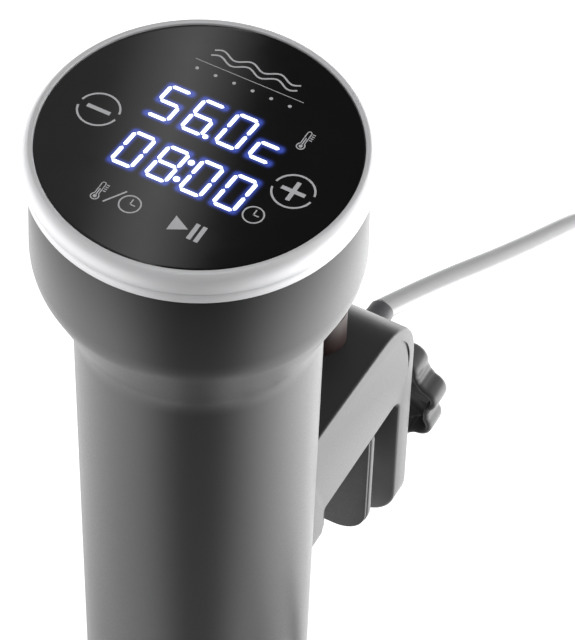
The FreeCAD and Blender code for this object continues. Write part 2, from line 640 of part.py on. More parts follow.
# ---------------------------------------------------------------- mains cord
def cord_path(stops):
    """straight runs joined by tangent arcs through the stops, as one wire"""
    pieces, here = [], stops[0]
    for k in range(1, len(stops) - 1):
        before, after = stops[k] - stops[k - 1], stops[k + 1] - stops[k]
        half_turn = before.getAngle(after) / 2
        shorter = min(before.Length, after.Length)
        if half_turn < 1e-4:
            continue
        trim = 0.45 * shorter
        radius = trim / math.tan(half_turn)
        print("cord bend %d: turn %.1f deg, radius %.1f mm" % (k, math.degrees(2 * half_turn),
                                                               radius))
        enter = stops[k] - V(before).normalize() * trim
        leave = stops[k] + V(after).normalize() * trim
        inward = (V(after).normalize() - V(before).normalize()).normalize()
        middle = stops[k] + inward * (radius / math.cos(half_turn) - radius)
        pieces.append(Part.LineSegment(here, enter).toShape())
        pieces.append(Part.Arc(enter, middle, leave).toShape())
        here = leave
    pieces.append(Part.LineSegment(here, stops[-1]).toShape())
    return Part.Wire(pieces)


def cord_tube(label, stops):
    radius = value("dims.cord_radius")
    path = cord_path(stops)
    section = Part.Wire([Part.makeCircle(radius, stops[0], stops[1] - stops[0])])
    tube = path.makePipeShell([section], True, False)
    expected = math.pi * radius ** 2 * path.Length
    print("%s: length %.1f mm, volume %.4f of section times length"
          % (label, path.Length, tube.Volume / expected))
    return solid_from(label, tube)


cord = value("dims.cord_radius")
coil = V(value("dims.coil_x"), value("dims.coil_y"), 0)
coil_side = coil.x + value("dims.coil_outer") - cord
lead_stops = [V(value("dims.exit_x"), value("dims.boot_end"), value("dims.exit_height")),
              V(9.6, 128.5, 218.5), V(24.5, 158, 213), V(38.5, 196, 204.3), V(58, 212, 172),
              V(78, 208, 128), V(94, 190, 82), V(102, 160, 38), V(103.6, 132, 11),
              V(coil_side, 108, cord + 0.2), V(coil_side, coil.y, cord)]
cord_tube("cord_lead", lead_stops)

coil_high = 4 * cord
solid_from("cord_coil", Part.makeCylinder(value("dims.coil_outer"), coil_high, coil).cut(
    Part.makeCylinder(value("dims.coil_inner"), coil_high, coil)))

plug_end = V(value("dims.plug_x"), value("dims.plug_rear"), value("dims.plug_height"))
cord_tube("cord_tail", [V(coil_side, coil.y, 3 * cord), V(103.0, 68, 11), V(101, 54, 14.6),
                        plug_end])

away = V(0, -1, 0)                     # the way the plug's pins point
plug_neck, plug_deep = value("dims.plug_neck"), value("dims.plug_deep")
grip = Part.makeCone(6, 13, plug_neck, plug_end, away)
barrel = Part.makeCylinder(value("dims.plug_radius"), plug_deep, plug_end + away * plug_neck,
                           away)
solid_from("plug_body", grip.fuse(barrel).removeSplitter())

pin_face = plug_end + away * (plug_neck + plug_deep)
pin_side = V(value("dims.pin_spacing") / 2, 0, 0)
solid_from("plug_pins", Part.makeCompound([
    Part.makeCylinder(value("dims.pin_radius"), value("dims.pin_long"),
                      pin_face + pin_side * side, away) for side in (-1, 1)]))

boot = turned("strain_relief", [
    ("cord_radius", "boot_start"), ("cord_radius + 1.2", "boot_start"),
    ("cord_radius + 1.2", "leg_outer"), ("boot_radius + 1", "leg_outer"),
    ("boot_radius + 1", "leg_outer + 1.4"), ("boot_radius", "leg_outer + 1.4"),
    ("cord_radius + 0.7", "boot_end"), ("cord_radius", "boot_end")])
boot.Placement = FreeCAD.Placement(V(0, 0, 0), turn_to_y)
boot.setExpression("Placement.Base.x", "dims.exit_x")
boot.setExpression("Placement.Base.z", "dims.exit_height")

# ---------------------------------------------------------------- check and export
doc.recompute()
for item in doc.Objects:
    if "Invalid" in item.State or "Error" in item.State:
        raise RuntimeError("%s: %s" % (item.Label, item.State))
os.makedirs("parts", exist_ok=True)
for item in parts:
    shape = item.Shape
    if shape.isNull() or not shape.isValid() or not shape.Solids:
        raise RuntimeError("bad shape: " + item.Label)
    shape.exportStep("parts/%s.step" % item.Label)
print("%d sub-parts" % len(parts))
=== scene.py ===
"""Looks of the sous vide circulator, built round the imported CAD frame. Sizes below are in
millimetres unless a name says otherwise; meshes are written in metres."""
import math

import bmesh
import bpy
from mathutils import Matrix, Vector


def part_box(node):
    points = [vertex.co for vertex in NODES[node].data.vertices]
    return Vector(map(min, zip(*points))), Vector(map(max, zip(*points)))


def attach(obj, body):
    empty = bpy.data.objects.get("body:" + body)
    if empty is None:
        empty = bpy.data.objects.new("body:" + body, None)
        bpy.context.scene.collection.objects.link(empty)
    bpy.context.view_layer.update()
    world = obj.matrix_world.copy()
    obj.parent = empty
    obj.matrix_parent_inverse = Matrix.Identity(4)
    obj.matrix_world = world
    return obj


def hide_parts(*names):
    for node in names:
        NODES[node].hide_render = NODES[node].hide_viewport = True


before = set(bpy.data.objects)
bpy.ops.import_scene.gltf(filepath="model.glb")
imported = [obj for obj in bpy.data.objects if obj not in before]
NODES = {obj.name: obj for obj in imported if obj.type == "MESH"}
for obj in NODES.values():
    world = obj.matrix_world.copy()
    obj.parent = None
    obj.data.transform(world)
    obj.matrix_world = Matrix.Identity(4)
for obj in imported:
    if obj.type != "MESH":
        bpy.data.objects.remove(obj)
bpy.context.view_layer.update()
MM = 0.001
SCENE = bpy.context.scene
SCENE.view_settings.view_transform = "Standard"


def span(name):
    """a CAD node's lowest and highest corner in millimetres"""
    low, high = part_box(name)
    return Vector(low) / MM, Vector(high) / MM


GLASS_LOW, GLASS_HIGH = span("glass_touch_panel")
BEZEL_LOW, BEZEL_HIGH = span("bezel_ring")
HOUSING_LOW, HOUSING_HIGH = span("upper_housing")
BRACKET_LOW, BRACKET_HIGH = span("clamp_bracket")
JAW_LOW, JAW_HIGH = span("jaw_plate")
PAD_LOW, PAD_HIGH = span("jaw_pad")
KNOB_LOW, KNOB_HIGH = span("clamp_knob")
SCREW_LOW, SCREW_HIGH = span("clamp_screw")
BOOT_LOW, BOOT_HIGH = span("strain_relief")
COIL_LOW, COIL_HIGH = span("cord_coil")
PLUG_LOW, PLUG_HIGH = span("plug_body")
PIN_LOW, PIN_HIGH = span("plug_pins")
GLASS_TOP, GLASS_RADIUS = GLASS_HIGH.z, GLASS_HIGH.x
SCREW_HEIGHT = (SCREW_LOW.z + SCREW_HIGH.z) / 2

# ------------------------------------------------------------------ camera
VIEW_AZIMUTH, VIEW_ELEVATION, VIEW_ROLL = 27.2, 50.3066, 1.8732      # degrees
VIEW_LENS = 215.18                  # on Blender's 36 mm sensor
VIEW_DISTANCE = 961.82              # from the lens to the glass, along the view
GLASS_LEFT, GLASS_ABOVE = 22.102, 44.204        # of the view's axis, square to it


def make_camera():
    azimuth, elevation, roll = (math.radians(angle) for angle in (
        VIEW_AZIMUTH, VIEW_ELEVATION, VIEW_ROLL))
    away = Vector((-math.sin(azimuth) * math.cos(elevation),
                   math.cos(azimuth) * math.cos(elevation), -math.sin(elevation)))
    level = Vector((math.cos(azimuth), math.sin(azimuth), 0))
    upright = level.cross(away)
    right = math.cos(roll) * level + math.sin(roll) * upright
    up = math.cos(roll) * upright - math.sin(roll) * level
    glass = Vector((0, 0, GLASS_TOP))
    place = glass + right * GLASS_LEFT - up * GLASS_ABOVE - away * VIEW_DISTANCE
    data = bpy.data.cameras.new("camera")
    data.lens = VIEW_LENS
    data.clip_start, data.clip_end = 0.05, 30.0
    camera = bpy.data.objects.new("camera", data)
    turn = Matrix((right, up, -away)).transposed().to_4x4()
    camera.matrix_world = Matrix.Translation(place * MM) @ turn
    SCENE.collection.objects.link(camera)
    SCENE.camera = camera


make_camera()


# ------------------------------------------------------------------ materials
def node(tree, kind, links=(), **values):
    """one shader node; links are (input, output socket) pairs, in_NAME sets an input"""
    made = tree.nodes.new(kind)
    for key, value in values.items():
        if key.startswith("in_"):
            made.inputs[key[3:].replace("_", " ")].default_value = value
        else:
            setattr(made, key, value)
    for name, source in links:
        tree.links.new(source, made.inputs[name])
    return made


def placed(tree, stretch=(1, 1, 1), ringed=False):
    """object coordinates in metres, stretched; ringed runs the grain round the Z axis"""
    where = node(tree, "ShaderNodeTexCoord").outputs["Object"]
    if ringed:
        split = node(tree, "ShaderNodeSeparateXYZ", [("Vector", where)])
        flat = node(tree, "ShaderNodeCombineXYZ", [("X", split.outputs["X"]),
                                                   ("Y", split.outputs["Y"])])
        reach = node(tree, "ShaderNodeVectorMath", [("Vector", flat.outputs[0])],
                     operation="LENGTH")
        angle = node(tree, "ShaderNodeMath", [(0, split.outputs["Y"]),
                                              (1, split.outputs["X"])], operation="ARCTAN2")
        where = node(tree, "ShaderNodeCombineXYZ", [
            ("X", reach.outputs["Value"]), ("Y", angle.outputs[0]),
            ("Z", split.outputs["Z"])]).outputs[0]
    moved = node(tree, "ShaderNodeMapping", [("Vector", where)])
    moved.inputs["Scale"].default_value = stretch
    return moved.outputs[0]


def ranged(tree, source, low, high, start=0.3, end=0.7):
    """low where source is at start or less, high where it is at end or more"""
    return node(tree, "ShaderNodeMapRange", [("Value", source)], in_From_Min=start,
                in_From_Max=end, in_To_Min=low, in_To_Max=high).outputs["Result"]


GRAIN_DEPTH = 0.00006                # metres, at a bump of 1


def surface(name, colour, rough, metal=0.0, tint=0.12, grain=900.0, stretch=(1, 1, 1),
            bump=0.15, rough_swing=0.08, ringed=False, blotch=25.0, detail=3.0, sheen=0.0):
    """a procedural finish: fine grain in the bump and roughness, soft blotches in colour"""
    material = bpy.data.materials.new(name)
    material.use_nodes = True
    tree = material.node_tree
    shader = tree.nodes["Principled BSDF"]
    shader.inputs["Metallic"].default_value = metal
    shader.inputs["Sheen Weight"].default_value = sheen
    fine = node(tree, "ShaderNodeTexNoise", [("Vector", placed(tree, stretch, ringed))],
                in_Scale=grain, in_Detail=detail, in_Roughness=0.6)
    broad = node(tree, "ShaderNodeTexNoise", [("Vector", placed(tree))],
                 in_Scale=blotch, in_Detail=2.0)
    mixed = node(tree, "ShaderNodeMath", [(0, fine.outputs["Fac"]),
                                          (1, broad.outputs["Fac"])], operation="ADD")
    blend = node(tree, "ShaderNodeMix", data_type="RGBA")
    tree.links.new(ranged(tree, mixed.outputs[0], 0, 1, 0.6, 1.4), blend.inputs["Factor"])
    colours = [socket for socket in blend.inputs if socket.type == "RGBA"]
    colours[0].default_value = [part * (1 - tint) for part in colour] + [1]
    colours[1].default_value = [min(1, part * (1 + tint)) for part in colour] + [1]
    shade = next(socket for socket in blend.outputs if socket.type == "RGBA")
    tree.links.new(shade, shader.inputs["Base Color"])
    tree.links.new(ranged(tree, fine.outputs["Fac"], max(0.02, rough - rough_swing),
                          min(1.0, rough + rough_swing)), shader.inputs["Roughness"])
    rise = node(tree, "ShaderNodeBump", [("Height", fine.outputs["Fac"])],
                in_Strength=bump, in_Distance=GRAIN_DEPTH)
    tree.links.new(rise.outputs["Normal"], shader.inputs["Normal"])
    return material


def lit_surface(material, colour, strength, attribute=None):
    """adds light to a finish, even or by a mesh attribute, with a slight flicker of grain"""
    tree = material.node_tree
    shader = tree.nodes["Principled BSDF"]
    shader.inputs["Emission Color"].default_value = (*colour, 1)
    vary = node(tree, "ShaderNodeTexNoise", [("Vector", placed(tree))], in_Scale=600.0)
    level = ranged(tree, vary.outputs["Fac"], strength * 0.94, strength * 1.06)
    if attribute:
        share = node(tree, "ShaderNodeAttribute", attribute_name=attribute)
        level = node(tree, "ShaderNodeMath", [(0, level), (1, share.outputs["Fac"])],
                     operation="MULTIPLY").outputs[0]
    tree.links.new(level, shader.inputs["Emission Strength"])
    return material


MAT = {
    "housing": surface("housing_satin", (0.008, 0.0081, 0.0085), 0.37, grain=2600, bump=0.22,
                       rough_swing=0.04, tint=0.07),
    "clamp": surface("clamp_satin", (0.018, 0.018, 0.019), 0.38, grain=2200, bump=0.2,
                     rough_swing=0.04, tint=0.07),
    # painted reflection: the neck's warm brown tint stands in for a warm reflection in the
    # shade under the head, not a colour the plastic has
    "neck": surface("neck_painted_warm_reflection", (0.028, 0.018, 0.017), 0.5, grain=2200, bump=0.2,
                    rough_swing=0.04, tint=0.08),
    "knob": surface("knob_satin", (0.034, 0.034, 0.035), 0.36, grain=2200, bump=0.2,
                    tint=0.07),
    "bezel": surface("bezel_brushed", (0.54, 0.54, 0.55), 0.50, metal=0.5, ringed=True,
                     stretch=(9000, 6, 9000), grain=1.0, bump=0.08, tint=0.04,
                     rough_swing=0.06),
    "glass": lit_surface(
        surface("panel_gloss", (0.0018, 0.0018, 0.002), 0.05, tint=0.2, grain=60,
                bump=0.0, rough_swing=0.01), (0.10, 0.18, 1.0), 0.42, "lit"),
    "digit": lit_surface(
        surface("digit_light", (0.8, 0.85, 0.9), 0.3, tint=0.03, bump=0.0),
        (0.90, 0.95, 1.0), 1.1),
    "icon": surface("icon_print", (0.29, 0.29, 0.30), 0.4, grain=900, bump=0.02, tint=0.05),
    "rubber": surface("pad_rubber", (0.012, 0.012, 0.013), 0.6, grain=1800, bump=0.35,
                      tint=0.15, sheen=0.1),
    "steel": surface("skirt_brushed", (0.44, 0.44, 0.45), 0.30, metal=1.0, ringed=True,
                     stretch=(300, 4, 7000), grain=1.0, bump=0.10, tint=0.06),
    "bright": surface("bright_steel", (0.56, 0.56, 0.57), 0.20, metal=1.0, grain=1500,
                      bump=0.08, tint=0.05),
    "heater": surface("heater_tinted", (0.46, 0.42, 0.36), 0.34, metal=1.0, grain=700,
                      bump=0.2, tint=0.22, blotch=60),
    "brass": surface("brass_turned", (0.70, 0.50, 0.20), 0.28, metal=1.0, grain=1400,
                     bump=0.12, tint=0.08),
    "natural": surface("natural_plastic", (0.72, 0.71, 0.66), 0.5, grain=1200, bump=0.2),
    "black": surface("black_plastic", (0.022, 0.022, 0.024), 0.45, grain=1800, bump=0.25),
    "board": surface("solder_mask", (0.015, 0.12, 0.05), 0.32, grain=420, bump=0.3,
                     tint=0.3, detail=6),
    "film": surface("sensor_film", (0.12, 0.07, 0.03), 0.2, grain=500, bump=0.05),
    "motor": surface("motor_can", (0.48, 0.48, 0.49), 0.36, metal=1.0, ringed=True,
                     stretch=(200, 3, 4000), grain=1.0, bump=0.1),
    "blue": surface("moulded_blue", (0.05, 0.07, 0.28), 0.42, grain=1500, bump=0.2),
    "cord": surface("cord_jacket", (0.40, 0.40, 0.405), 0.36, metal=0.4, grain=900,
                    bump=0.01, tint=0.05, rough_swing=0.03),
    "plug": surface("plug_rubber", (0.045, 0.045, 0.048), 0.45, grain=1500, bump=0.25),
}

CAD_FINISH = {
    "film": ["touch_film"],
    "rubber": ["glass_gasket", "shaft_seal", "flange_seal"],
    "black": ["display_carrier", "led_display_module", "sounder", "pump_housing",
              "impeller", "bottom_cap"],
    "board": ["display_board", "power_board"],
    "natural": ["inner_frame", "motor_mount", "shaft_coupling", "cooling_fan"],
    "blue": ["transformer", "relay", "capacitors"],
    "motor": ["motor"],
    "bright": ["upper_bearing", "lower_bearing", "temperature_probe", "level_rods",
               "bracket_screws", "drive_shaft"],
    "steel": ["shaft_tube", "heater_flange", "skirt_tube"],
    "heater": ["heater_coil"],
    "brass": ["thread_insert"],
}
for finish, names in CAD_FINISH.items():
    for name in names:
        NODES[name].data.materials.clear()
        NODES[name].data.materials.append(MAT[finish])


# ------------------------------------------------------------------ mesh helpers
def skin(bm, rows, closed=False):
    """faces between rows of points; a row of one point closes the shape there"""
    made = [[bm.verts.new(point) for point in row] for row in rows]
    pairs = list(zip(made, made[1:]))
    if closed:
        pairs.append((made[-1], made[0]))
    for low, high in pairs:
        for k in range(max(len(low), len(high))):
            corners = [low[k % len(low)], low[(k + 1) % len(low)],
                       high[(k + 1) % len(high)], high[k % len(high)]]
            kept = [v for i, v in enumerate(corners) if v not in corners[:i]]
            bm.faces.new(kept)


def about_z(radius, turn, height):
    return Vector((radius * math.cos(turn), radius * math.sin(turn), height))


def about_screw(radius, turn, level):
    return Vector((radius * math.cos(turn), level, SCREW_HEIGHT + radius * math.sin(turn)))


def lathe(bm, profile, steps=256, place=about_z, closed=False):
    """turns (radius, height) points about an axis"""
    rows = []
    for radius, height in profile:
        count = 1 if radius < 1e-6 else steps
        rows.append([place(radius, 2 * math.pi * k / steps, height) for k in range(count)])
    skin(bm, rows, closed)


def bow(start, end, radius, steps=12):
    """an arc from start to end, both included; it bulges to the right of its travel, or
    to the left for a radius below 0"""
    start, end = Vector(start), Vector(end)
    chord = end - start
    side = math.copysign(1, radius) * Vector((chord.y, -chord.x)).normalized()
    centre = (start + end) / 2 - side * math.sqrt(radius ** 2 - (chord.length / 2) ** 2)
    sweep = math.copysign(2 * math.asin(chord.length / 2 / abs(radius)), radius)
    first = math.atan2(start.y - centre.y, start.x - centre.x)
    return [(centre.x + abs(radius) * math.cos(first + sweep * k / steps),
             centre.y + abs(radius) * math.sin(first + sweep * k / steps))
            for k in range(steps + 1)]


def rounded(points, radii, steps=10):
    """a closed 2D outline whose corners are rounded, one radius for each corner"""
    out = []
    for k, point in enumerate(points):
        here = Vector(point)
        if radii[k] <= 0:
            out.append(here)
            continue
        before = (Vector(points[k - 1]) - here).normalized()
        after = (Vector(points[(k + 1) % len(points)]) - here).normalized()
        half = before.angle(after) / 2
        reach = radii[k] / math.tan(half)
        centre = here + (before + after).normalized() * radii[k] / math.sin(half)
        start, end = here + before * reach - centre, here + after * reach - centre
        sweep = math.atan2(start.x * end.y - start.y * end.x, start.dot(end))
        for i in range(steps + 1):
            out.append(centre + Matrix.Rotation(sweep * i / steps, 2) @ start)
    return out


def inset(points, distance):
    """an anticlockwise outline moved inwards, its corners kept sharp"""
    out = []
    for k, point in enumerate(points):
        here = Vector(point)
        before = (here - Vector(points[k - 1])).normalized()
        after = (Vector(points[(k + 1) % len(points)]) - here).normalized()
        inward = Vector((-before.y, before.x)) + Vector((-after.y, after.x))
        out.append(here + inward * distance / (1 + before.dot(after)))
    return out


def along_x(a, b, level):
    return Vector((level, a, b))


def along_y(a, b, level):
    return Vector((a, level, b))


def along_z(a, b, level):
    return Vector((a, b, level))


def prism(bm, points, low, high, place):
    """a closed shape between two copies of a 2D outline"""
    ends = [[bm.verts.new(place(p[0], p[1], level)) for p in points] for level in (low, high)]
    for k in range(len(points)):
        after = (k + 1) % len(points)
        bm.faces.new([ends[0][k], ends[0][after], ends[1][after], ends[1][k]])
    bm.faces.new(ends[0][::-1])
    bm.faces.new(ends[1])


def mesh_from(name, maker):
    """runs maker on an empty bmesh in millimetres and gives the mesh in metres"""
    bm = bmesh.new()
    maker(bm)
    bmesh.ops.recalc_face_normals(bm, faces=bm.faces)
    bmesh.ops.scale(bm, vec=(MM, MM, MM), verts=bm.verts)
    mesh = bpy.data.meshes.new(name)
    bm.to_mesh(mesh)
    bm.free()
    return mesh


def apply_modifiers(made):
    graph = bpy.context.evaluated_depsgraph_get()
    mesh = bpy.data.meshes.new_from_object(made.evaluated_get(graph))
    made.modifiers.clear()
    old, made.data = made.data, mesh
    bpy.data.meshes.remove(old)


def carve(made, maker):
    """takes the closed shapes that maker fills a bmesh with out of a piece"""
    tool = bpy.data.objects.new("tool", mesh_from("tool", maker))
    SCENE.collection.objects.link(tool)
    step = made.modifiers.new("carve", "BOOLEAN")
    step.object, step.operation, step.solver = tool, "DIFFERENCE", "EXACT"
    apply_modifiers(made)
    bpy.data.objects.remove(tool)


def soften(made, width):
    step = made.modifiers.new("soften", "BEVEL")
    step.width, step.segments = width * MM, 3
    step.limit_method, step.angle_limit = "ANGLE", math.radians(40)
    step.use_clamp_overlap = False
    apply_modifiers(made)


def rod(bm, radius, low, high, steps, place=about_z):
    """a closed cylinder to cut with"""
    lathe(bm, [(0, low), (radius, low), (radius, high), (0, high)], steps, place)


def piece(name, maker, material, body, replaced=(), sharp=35.0, bevel=0.0,
          before=None, after=None):
    """a piece of the object: its mesh, cuts before and after its edges are rounded, its
    finish, and the body that it rides on"""
    made = bpy.data.objects.new(name, mesh_from(name, maker))
    SCENE.collection.objects.link(made)
    if before:
        carve(made, before)
    if bevel:
        soften(made, bevel)
    if after:
        carve(made, after)
    for face in made.data.polygons:
        face.use_smooth = True
    made.data.set_sharp_from_angle(angle=math.radians(sharp))
    made.data.materials.clear()
    made.data.materials.append(MAT[material])
    for face in made.data.polygons:
        face.material_index = 0
    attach(made, body)
    if replaced:
        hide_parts(*replaced)
    return made


# ------------------------------------------------------------------ mains cord
CORD_RADIUS = 3.4
LEAD = [(2.0, 110.6, 221.2), (9.6, 128.5, 218.5), (24.5, 158, 213), (38.5, 196, 204.3),
        (58, 212, 172), (78, 208, 128), (94, 190, 82), (102, 160, 38), (103.6, 132, 11),
        (103.4, 108, 4.0)]
TAIL = [(103.0, 68, 11.2), (101, 54, 14.6), (100, 42, 17.2)]
COIL_CENTRE = (COIL_LOW + COIL_HIGH) / 2
COIL_OUTER = (COIL_HIGH.x - COIL_LOW.x) / 2 - CORD_RADIUS
COIL_TURNS, COIL_STEPS = 4, 24
COIL_LIFT, LIFT_TURNS = 0.6, 0.15    # the tie passes under the turns
CLIMB_START, CLIMB_TURNS = 1.7, 0.35            # where the second layer climbs on the first
TURN_SPACING = 6.9
COIL_INNER = COIL_OUTER - (COIL_TURNS / 2) * TURN_SPACING
CORD_AXIS = Vector((LEAD[0][0], 0, LEAD[0][2]))


def about_cord(radius, turn, level):
    """round the cord's first stretch, through the leg"""
    return CORD_AXIS + Vector((radius * math.cos(turn), level, radius * math.sin(turn)))


def smooth(share):
    share = min(1.0, max(0.0, share))
    return share * share * (3 - 2 * share)


def coil_points():
    """an inward spiral on the floor, a climb at its inner turn, and an outward spiral"""
    points = []
    for step in range(COIL_TURNS * COIL_STEPS + 1):
        turns = step / COIL_STEPS
        turned_back = turns - COIL_TURNS / 2
        radius = max(COIL_INNER, COIL_OUTER - TURN_SPACING * turns)
        if turned_back > 0:
            radius = COIL_INNER + TURN_SPACING * turned_back
        lift = COIL_LIFT * smooth(turns / LIFT_TURNS)
        climb = smooth((turns - CLIMB_START) / CLIMB_TURNS)
        height = CORD_RADIUS + lift + 2 * CORD_RADIUS * climb
        angle = -2 * math.pi * turns
        points.append((COIL_CENTRE.x + radius * math.cos(angle),
                       COIL_CENTRE.y + radius * math.sin(angle), height))
    return points


def make_cord():
    data = bpy.data.curves.new("mains_cord", "CURVE")
    data.dimensions = "3D"
    data.bevel_depth, data.bevel_resolution = CORD_RADIUS * MM, 8
    data.resolution_u = 8
    data.use_fill_caps = True
    route = LEAD + coil_points() + TAIL
    spline = data.splines.new("NURBS")
    spline.points.add(len(route) - 1)
    for point, spot in zip(spline.points, route):
        point.co = (spot[0] * MM, spot[1] * MM, spot[2] * MM, 1)
    spline.order_u = 3
    spline.use_endpoint_u = True
    cord = bpy.data.objects.new("mains_cord", data)
    cord.data.materials.append(MAT["cord"])
    SCENE.collection.objects.link(cord)
    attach(cord, "housing")
    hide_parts("cord_lead", "cord_coil", "cord_tail")
    return cord


PLUG_CENTRE = (PLUG_LOW + PLUG_HIGH) / 2


def about_plug(x, start):
    """gives a lathe's place round a line along Y, from start away from the cord"""
    return lambda radius, turn, height: Vector((
        x + radius * math.cos(turn), start - height, PLUG_CENTRE.z + radius * math.sin(turn)))


def plug_grip(bm):
    """a ribbed neck that widens to a round body, turned about Y away from the cord"""
    radius = PLUG_HIGH.z - PLUG_CENTRE.z
    neck = [(CORD_RADIUS, 0), (4.6, 0.2), (5.6, 0.9)]
    for rib in range(4):
        start, size = 1.4 + 2.5 * rib, 5.6 + 1.6 * rib
        neck += [(size, start), (size, start + 1.2), (size + 0.3, start + 1.5),
                 (size + 1.2, start + 2.2)]
    barrel = [(12.8, 12.0), (15.4, 13.2), (16.7, 15.2), (radius, 17.5), (radius, 31.4),
              (radius - 0.5, 32.4), (radius - 1.6, 33.4), (radius - 3.0, 33.9), (0, 34.0)]
    lathe(bm, [(0, 0.0)] + neck + barrel, steps=96,
          place=about_plug(PLUG_CENTRE.x, PLUG_HIGH.y))


def plug_contacts(bm):
    radius = (PIN_HIGH.z - PIN_LOW.z) / 2
    length = PIN_HIGH.y - PIN_LOW.y
    for x in (PIN_LOW.x + radius, PIN_HIGH.x - radius):
        lathe(bm, [(0, 0), (radius, 0), (radius, length - 2.0), (radius * 0.86, length - 0.8),
                   (radius * 0.5, length - 0.15), (0, length)], steps=32,
              place=about_plug(x, PIN_HIGH.y))


def coil_tie(bm):
    """a strap round all the turns, on the side of the coil away from the plug"""
    wide, thick, gap = 9.0, 0.45, 0.15
    inner = COIL_INNER - CORD_RADIUS - gap
    outer = COIL_OUTER + CORD_RADIUS - 0.1
    low, high = thick, COIL_LIFT + 4 * CORD_RADIUS + gap
    section = rounded([(inner, low), (outer, low), (outer, high), (inner, high)], [3] * 4, 6)
    around = inset(section, -thick)
    turn = math.radians(125)
    out = Vector((math.cos(turn), math.sin(turn), 0))
    side = Vector((-out.y, out.x, 0))
    centre = Vector((COIL_CENTRE.x, COIL_CENTRE.y, 0))
    rows = []
    for points, level in ((section, -wide / 2), (around, -wide / 2), (around, wide / 2),
                          (section, wide / 2)):
        rows.append([centre + out * p[0] + Vector((0, 0, p[1])) + side * level
                     for p in points])
    skin(bm, rows, closed=True)


CORD = make_cord()
TIE = piece("coil_tie", coil_tie, "rubber", "housing")
PLUG = piece("plug_grip", plug_grip, "plug", "housing", ["plug_body"])
CONTACTS = piece("plug_contacts", plug_contacts, "bright", "housing",
                 ["plug_pins"])


def cord_boot(bm):
    """the strain relief: a flange against the leg and a short taper on the cord"""
    low, high = BOOT_LOW.y, BOOT_HIGH.y
    flange = (BOOT_HIGH.z - BOOT_LOW.z) / 2
    seat = BRACKET_HIGH.y
    inner = CORD_RADIUS + 0.02
    profile = [(inner, low), (inner + 1.1, low), (inner + 1.1, seat), (flange, seat),
               (flange, seat + 1.0), (flange - 0.4, seat + 1.4)]
    free = high - seat - 1.4
    profile += bow((flange - 0.9, seat + 1.6), (inner + 0.6, seat + 1.4 + free * 0.7), -30, 8)
    profile += [(inner + 0.5, high - 0.4), (inner + 0.25, high), (inner, high)]
    lathe(bm, profile, steps=64, closed=True, place=about_cord)


piece("cord_boot", cord_boot, "plug", "housing", ["strain_relief"])


# ------------------------------------------------------------------ display marks
DIGIT_WIDE, DIGIT_HIGH, SEGMENT, SLANT = 6.8, 12.2, 1.08, math.tan(math.radians(4.4))
LIT_BARS = {"0": "abcdef", "5": "acdfg", "6": "acdefg", "8": "abcdefg", "c": "deg"}
ROWS = [("560c", 2.25), ("0800", -15.95)]
DIGIT_LEFT = (-17.4, -7.6, 2.25, 11.85)
DOTS = [(0.0, 2.9, 0.75), (1.3, -6.5, 0.9), (0.8, -13.1, 0.9)]


def bar_lines():
    """the centre line of every lit bar of both rows, with the slant put in"""
    half = SEGMENT / 2
    left, right, low, high = half, DIGIT_WIDE - half, half, DIGIT_HIGH - half
    middle = DIGIT_HIGH / 2
    ends = {"a": ((left, high), (right, high)), "b": ((right, middle), (right, high)),
            "c": ((right, low), (right, middle)), "d": ((left, low), (right, low)),
            "e": ((left, low), (left, middle)), "f": ((left, middle), (left, high)),
            "g": ((left, middle), (right, middle))}
    lines = []
    for text, base in ROWS:
        for letter, x in zip(text, DIGIT_LEFT):
            for key in LIT_BARS[letter]:
                lines.append([Vector((x + p[0] + p[1] * SLANT, base + p[1]))
                              for p in ends[key]])
    return lines


def bar_outline(start, end):
    """a six-sided bar with pointed ends, a little short of its neighbours"""
    gap = 0.22
    run = (end - start).normalized()
    side = Vector((-run.y, run.x)) * SEGMENT / 2
    tip, tail = start + run * gap, end - run * gap
    step = run * SEGMENT / 2
    return [tip, tip + step - side, tail - step - side, tail, tail - step + side,
            tip + step + side]


def disc(x, y, radius, steps=32):
    return [Vector((x + radius * math.cos(2 * math.pi * k / steps),
                    y + radius * math.sin(2 * math.pi * k / steps))) for k in range(steps)]


def stroke(points, width):
    """a ribbon along an open line"""
    points = [Vector(point) for point in points]
    sides = []
    for k, point in enumerate(points):
        run = (points[min(k + 1, len(points) - 1)] - points[max(k - 1, 0)]).normalized()
        sides.append(Vector((-run.y, run.x)) * width / 2)
    return ([p - s for p, s in zip(points, sides)]
            + [p + s for p, s in reversed(list(zip(points, sides)))])


def arc_stroke(x, y, radius, width, start, end):
    steps = max(6, int(abs(end - start) / 6))
    angles = [math.radians(start + (end - start) * k / steps) for k in range(steps + 1)]
    return stroke([(x + radius * math.cos(a), y + radius * math.sin(a)) for a in angles],
                  width)


def block(x, y, wide, high):
    return [Vector((x - wide / 2, y - high / 2)), Vector((x + wide / 2, y - high / 2)),
            Vector((x + wide / 2, y + high / 2)), Vector((x - wide / 2, y + high / 2))]


def ring_mark(x, y, radius, width):
    return [arc_stroke(x, y, radius, width, 0, 180), arc_stroke(x, y, radius, width, 180, 360)]


def clock_mark(x, y, radius):
    return ring_mark(x, y, radius, 0.4) + [
        stroke([(x, y + 1.8), (x, y - 0.16)], 0.34),
        stroke([(x - 0.16, y), (x + 1.5, y)], 0.34)]


def thermometer_mark(x, y, high):
    """a bulb with a dot, a round-topped tube and a scale beside it"""
    tube = 0.55
    marks = [arc_stroke(x, y, 1.05, 0.32, 120, 420), disc(x, y, 0.5, 20)]
    marks.append(stroke([(x - tube, y + 0.95), (x - tube, y + high)]
                        + [(x + tube * math.cos(a), y + high + tube * math.sin(a))
                           for a in (math.pi * (1 - k / 8) for k in range(1, 8))]
                        + [(x + tube, y + high), (x + tube, y + 0.95)], 0.26))
    marks.append(stroke([(x, y + 0.4), (x, y + high * 0.62)], 0.3))
    for k in range(4):
        marks.append(block(x + 1.3, y + high - 0.7 * k, 0.8, 0.3))
    return marks


